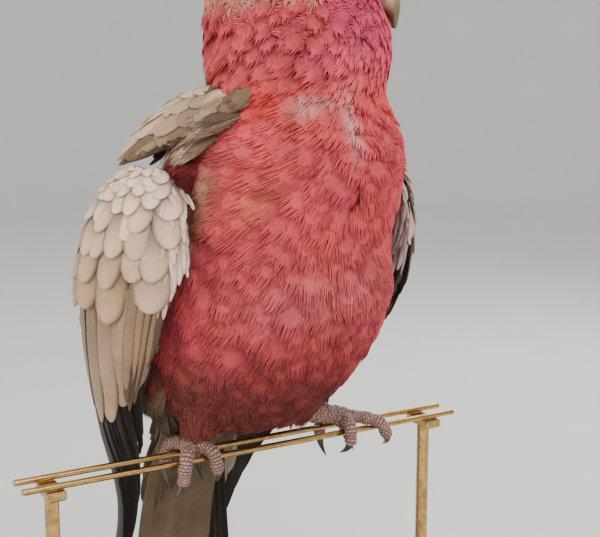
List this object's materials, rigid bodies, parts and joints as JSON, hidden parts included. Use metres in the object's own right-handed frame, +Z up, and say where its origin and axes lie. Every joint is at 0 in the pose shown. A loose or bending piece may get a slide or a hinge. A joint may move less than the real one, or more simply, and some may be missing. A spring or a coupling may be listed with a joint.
{
  "type": "galah",
  "caption": "Life-size still model of a perched pink-and-grey cockatoo, one wing drooped and head turned, on a cut length of double wire held by a flat stand.",
  "frame": {"origin": "centre of the underside of the stand's base", "axes": "+Z up from the base to the crown; -Y is the way the bird's body faces; +X is the bird's left, along the perch wires"},
  "size_m": [0.24, 0.192, 0.4007],
  "materials": {
    "plumage_rose": "matte",
    "plumage_pale": "matte",
    "plumage_grey": "matte",
    "bill_horn": "satin",
    "eye_gloss": "gloss",
    "foot_skin": "matte",
    "claw_horn": "satin",
    "brass_wire": "polished",
    "dark_wood": "satin"
  },
  "bodies": {
    "root": {"trunk": "plumage_rose", "neck": "plumage_rose", "head": "plumage_rose", "thigh_left": "plumage_rose", "thigh_right": "plumage_rose", "crest": "plumage_pale", "shoulder_left": "plumage_grey", "shoulder_right": "plumage_grey", "wing_left": "plumage_grey", "wing_right": "plumage_grey", "tail": "plumage_grey", "bill_upper": "bill_horn", "bill_lower": "bill_horn", "eye_left": "eye_gloss", "eye_right": "eye_gloss", "foot_left": "foot_skin", "foot_right": "foot_skin", "perch_wire_front": "brass_wire", "perch_wire_back": "brass_wire", "stand_rod_left": "brass_wire", "stand_rod_right": "brass_wire", "stand_base": "dark_wood", "claw_left_inner_front": "claw_horn", "claw_left_inner_back": "claw_horn", "claw_left_outer_front": "claw_horn", "claw_left_outer_back": "claw_horn", "claw_right_inner_front": "claw_horn", "claw_right_inner_back": "claw_horn", "claw_right_outer_front": "claw_horn", "claw_right_outer_back": "claw_horn"}
  },
  "joints": []
}
